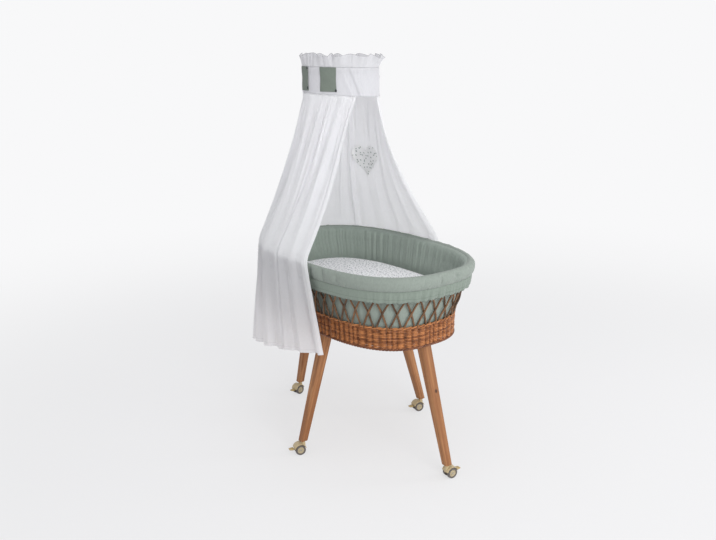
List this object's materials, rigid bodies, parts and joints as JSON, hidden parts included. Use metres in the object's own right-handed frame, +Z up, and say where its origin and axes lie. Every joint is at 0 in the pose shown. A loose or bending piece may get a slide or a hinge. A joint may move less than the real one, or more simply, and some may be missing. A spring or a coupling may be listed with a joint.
{
  "type": "bassinet",
  "caption": "Oval wicker bassinet on splayed wooden legs with braked castors, padded cloth cover and ruffle, mattress, and a gathered canopy hanging from a hoop on a height-adjustable rod.",
  "frame": {"origin": "on the floor, under the middle of the bounding box", "axes": "+Z up, +X from the head end with the canopy to the foot end, -Y to the near side with the clamp knob"},
  "size_m": [1.0095, 0.7, 1.455],
  "materials": {
    "wicker": "satin",
    "lattice_rods": "satin",
    "board": "matte",
    "leg_wood": "satin",
    "sage_cloth": "matte",
    "liner_cloth": "matte",
    "mattress_cloth": "matte",
    "sheet_cloth": "matte",
    "canopy_cloth": "matte",
    "steel": "satin",
    "rod_metal": "satin",
    "bracket_metal": "satin",
    "castor_plastic": "satin",
    "wheel_plastic": "satin",
    "pedal_plastic": "satin",
    "knob_plastic": "satin"
  },
  "bodies": {
    "basket": {"base_board": "board", "wicker_floor": "wicker", "bottom_border": "wicker", "wicker_band": "wicker", "wicker_lattice": "lattice_rods", "rim_hoop": "wicker", "padded_cover": "sage_cloth", "ruffle": "sage_cloth", "liner": "liner_cloth", "mattress": "mattress_cloth", "fitted_sheet": "sheet_cloth", "rod_bracket": "bracket_metal", "leg_foot": "leg_wood", "leg_plate_foot": "steel", "castor_stem_foot": "steel", "leg_far": "leg_wood", "leg_plate_far": "steel", "castor_stem_far": "steel", "leg_head": "leg_wood", "leg_plate_head": "steel", "castor_stem_head": "steel", "leg_near": "leg_wood", "leg_plate_near": "steel", "castor_stem_near": "steel"},
    "canopy": {"canopy_rod": "rod_metal", "canopy_hoop": "rod_metal", "canopy_header": "canopy_cloth", "canopy_sash": "canopy_cloth", "curtain_near": "canopy_cloth", "curtain_head": "canopy_cloth", "curtain_far": "canopy_cloth", "heart_patch": "sheet_cloth", "sash_loop_1": "sage_cloth", "sash_loop_2": "sage_cloth"},
    "knob": {"clamp_knob": "knob_plastic"},
    "castor_foot": {"castor_hood_foot": "castor_plastic"},
    "wheels_foot": {"castor_axle_foot": "steel", "wheel_left_foot": "wheel_plastic", "wheel_right_foot": "wheel_plastic"},
    "pedal_foot": {"brake_pedal_foot": "pedal_plastic"},
    "castor_far": {"castor_hood_far": "castor_plastic"},
    "wheels_far": {"castor_axle_far": "steel", "wheel_left_far": "wheel_plastic", "wheel_right_far": "wheel_plastic"},
    "pedal_far": {"brake_pedal_far": "pedal_plastic"},
    "castor_head": {"castor_hood_head": "castor_plastic"},
    "wheels_head": {"castor_axle_head": "steel", "wheel_left_head": "wheel_plastic", "wheel_right_head": "wheel_plastic"},
    "pedal_head": {"brake_pedal_head": "pedal_plastic"},
    "castor_near": {"castor_hood_near": "castor_plastic"},
    "wheels_near": {"castor_axle_near": "steel", "wheel_left_near": "wheel_plastic", "wheel_right_near": "wheel_plastic"},
    "pedal_near": {"brake_pedal_near": "pedal_plastic"}
  },
  "joints": [
    {"name": "canopy_height", "type": "slide", "parent": "basket", "child": "canopy", "axis": [0, 0, 1], "range_m": [0, 0.09]},
    {"name": "knob_turn", "type": "hinge", "parent": "basket", "child": "knob", "pos_m": [-0.45818, 0.00292, 0.598], "axis": [0.7071, -0.7071, 0], "range_deg": [0, 270]},
    {"name": "swivel_foot", "type": "hinge", "parent": "basket", "child": "castor_foot", "pos_m": [0.48282, 0.00292, 0.052], "axis": [0, 0, 1], "continuous": true},
    {"name": "wheel_spin_foot", "type": "hinge", "parent": "castor_foot", "child": "wheels_foot", "pos_m": [0.48453, 0.01681, 0.02], "axis": [-0.9925, 0.1219, 0], "continuous": true},
    {"name": "brake_foot", "type": "hinge", "parent": "castor_foot", "child": "pedal_foot", "pos_m": [0.48791, 0.04441, 0.024], "axis": [-0.9925, 0.1219, 0], "range_deg": [0, 15]},
    {"name": "swivel_far", "type": "hinge", "parent": "basket", "child": "castor_far", "pos_m": [0.00882, 0.29992, 0.052], "axis": [0, 0, 1], "continuous": true},
    {"name": "wheel_spin_far", "type": "hinge", "parent": "castor_far", "child": "wheels_far", "pos_m": [0.00591, 0.28622, 0.02], "axis": [0.9781, -0.2079, 0], "continuous": true},
    {"name": "brake_far", "type": "hinge", "parent": "castor_far", "child": "pedal_far", "pos_m": [0.00013, 0.25903, 0.024], "axis": [0.9781, -0.2079, 0], "range_deg": [0, 15]},
    {"name": "swivel_head", "type": "hinge", "parent": "basket", "child": "castor_head", "pos_m": [-0.46518, 0.00292, 0.052], "axis": [0, 0, 1], "continuous": true},
    {"name": "wheel_spin_head", "type": "hinge", "parent": "castor_head", "child": "wheels_head", "pos_m": [-0.46323, -0.01095, 0.02], "axis": [0.9903, 0.1392, 0], "continuous": true},
    {"name": "brake_head", "type": "hinge", "parent": "castor_head", "child": "pedal_head", "pos_m": [-0.45936, -0.03848, 0.024], "axis": [0.9903, 0.1392, 0], "range_deg": [0, 15]},
    {"name": "swivel_near", "type": "hinge", "parent": "basket", "child": "castor_near", "pos_m": [0.00882, -0.29408, 0.052], "axis": [0, 0, 1], "continuous": true},
    {"name": "wheel_spin_near", "type": "hinge", "parent": "castor_near", "child": "wheels_near", "pos_m": [0.00473, -0.30747, 0.02], "axis": [0.9563, -0.2924, 0], "continuous": true},
    {"name": "brake_near", "type": "hinge", "parent": "castor_near", "child": "pedal_near", "pos_m": [-0.0034, -0.33406, 0.024], "axis": [0.9563, -0.2924, 0], "range_deg": [0, 15]}
  ]
}
